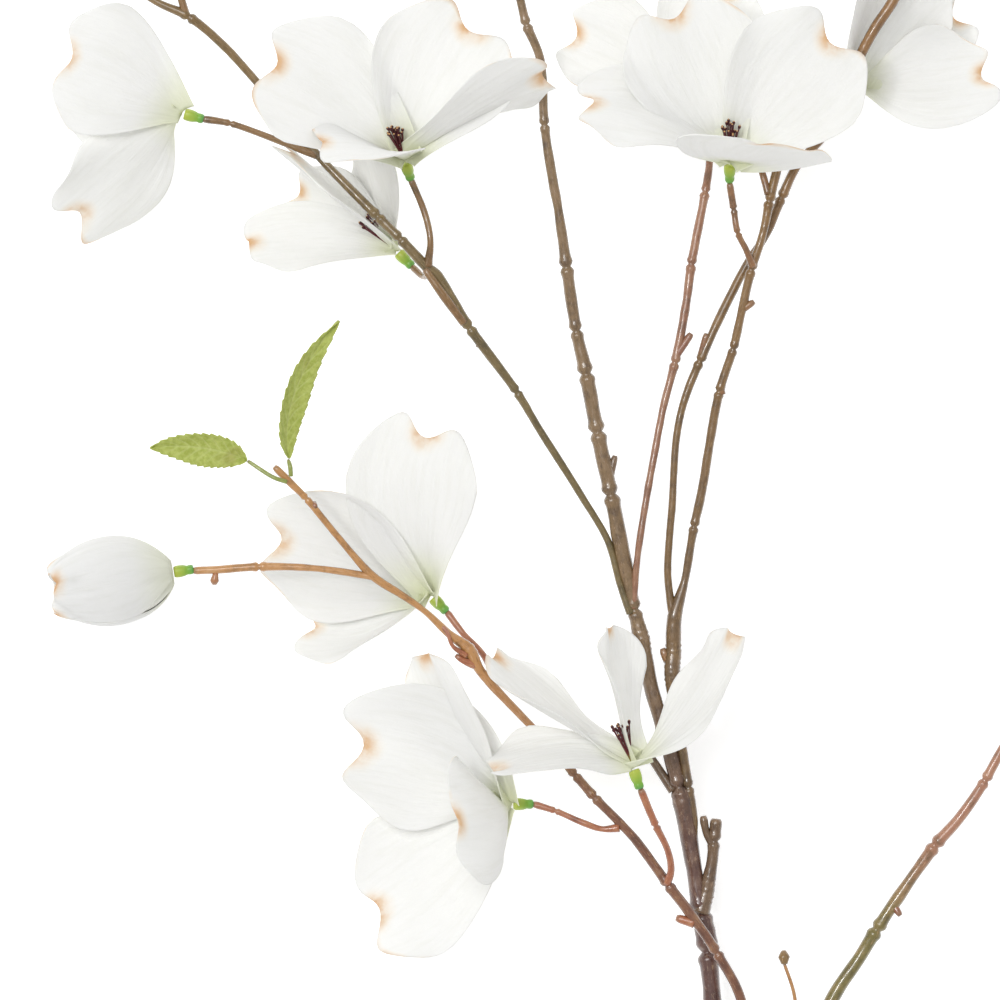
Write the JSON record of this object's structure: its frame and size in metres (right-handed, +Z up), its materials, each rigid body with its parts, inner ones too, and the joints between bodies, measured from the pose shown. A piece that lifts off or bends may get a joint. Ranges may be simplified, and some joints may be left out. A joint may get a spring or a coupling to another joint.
{
  "type": "artificial dogwood branch",
  "caption": "Artificial dogwood spray lying flat: jointed brown stems forking from one trunk, with white notched four-bract flowers, pointed buds and serrated leaves.",
  "frame": {"origin": "under the middle of the spray's box, on the plane that it lies on", "axes": "+Y from the cut end to the flowers, +X to the right as seen from above, +Z up"},
  "size_m": [0.3634, 0.5654, 0.0953],
  "materials": {
    "bark_plastic": "moulded plastic, satin, streaked brown",
    "bract_fabric": "stiffened white fabric with veins and tan edge stains",
    "leaf_fabric": "printed green fabric, matte",
    "collar": "moulded green plastic, satin",
    "stamen": "dark red plastic threads with tan tips",
    "wire": "plain drawn wire"
  },
  "bodies": {
    "root": {"trunk_wire": "wire", "trunk": "bark_plastic", "right_branch": "bark_plastic", "outer_branch": "bark_plastic", "centre_branch": "bark_plastic", "left_branch": "bark_plastic", "lower_branch": "bark_plastic", "bud_twig": "bark_plastic", "low_right_branch": "bark_plastic", "knob_filament": "bark_plastic", "petiole_1": "leaf_fabric", "petiole_2": "leaf_fabric", "bud_collar": "collar", "bud_bracts": "bract_fabric", "top_bud_collar": "collar", "top_bud_bracts": "bract_fabric", "right_bud_collar": "collar", "right_bud_bracts": "bract_fabric", "low_bud_collar": "collar", "low_bud_bracts": "bract_fabric", "flower_1_collar": "collar", "flower_1_stamens": "stamen", "flower_1_outer_bracts": "bract_fabric", "flower_1_inner_bracts": "bract_fabric", "flower_2_collar": "collar", "flower_2_stamens": "stamen", "flower_2_outer_bracts": "bract_fabric", "flower_2_inner_bracts": "bract_fabric", "flower_3_collar": "collar", "flower_3_stamens": "stamen", "flower_3_outer_bracts": "bract_fabric", "flower_3_inner_bracts": "bract_fabric", "flower_4_collar": "collar", "flower_4_stamens": "stamen", "flower_4_outer_bracts": "bract_fabric", "flower_4_inner_bracts": "bract_fabric", "flower_5_collar": "collar", "flower_5_stamens": "stamen", "flower_5_outer_bracts": "bract_fabric", "flower_5_inner_bracts": "bract_fabric", "flower_6_collar": "collar", "flower_6_stamens": "stamen", "flower_6_outer_bracts": "bract_fabric", "flower_6_inner_bracts": "bract_fabric", "flower_7_collar": "collar", "flower_7_stamens": "stamen", "flower_7_outer_bracts": "bract_fabric", "flower_7_inner_bracts": "bract_fabric", "flower_8_collar": "collar", "flower_8_stamens": "stamen", "flower_8_outer_bracts": "bract_fabric", "flower_8_inner_bracts": "bract_fabric", "flower_9_collar": "collar", "flower_9_stamens": "stamen", "flower_9_outer_bracts": "bract_fabric", "flower_9_inner_bracts": "bract_fabric", "leaf_1": "leaf_fabric", "leaf_2": "leaf_fabric"}
  },
  "joints": []
}
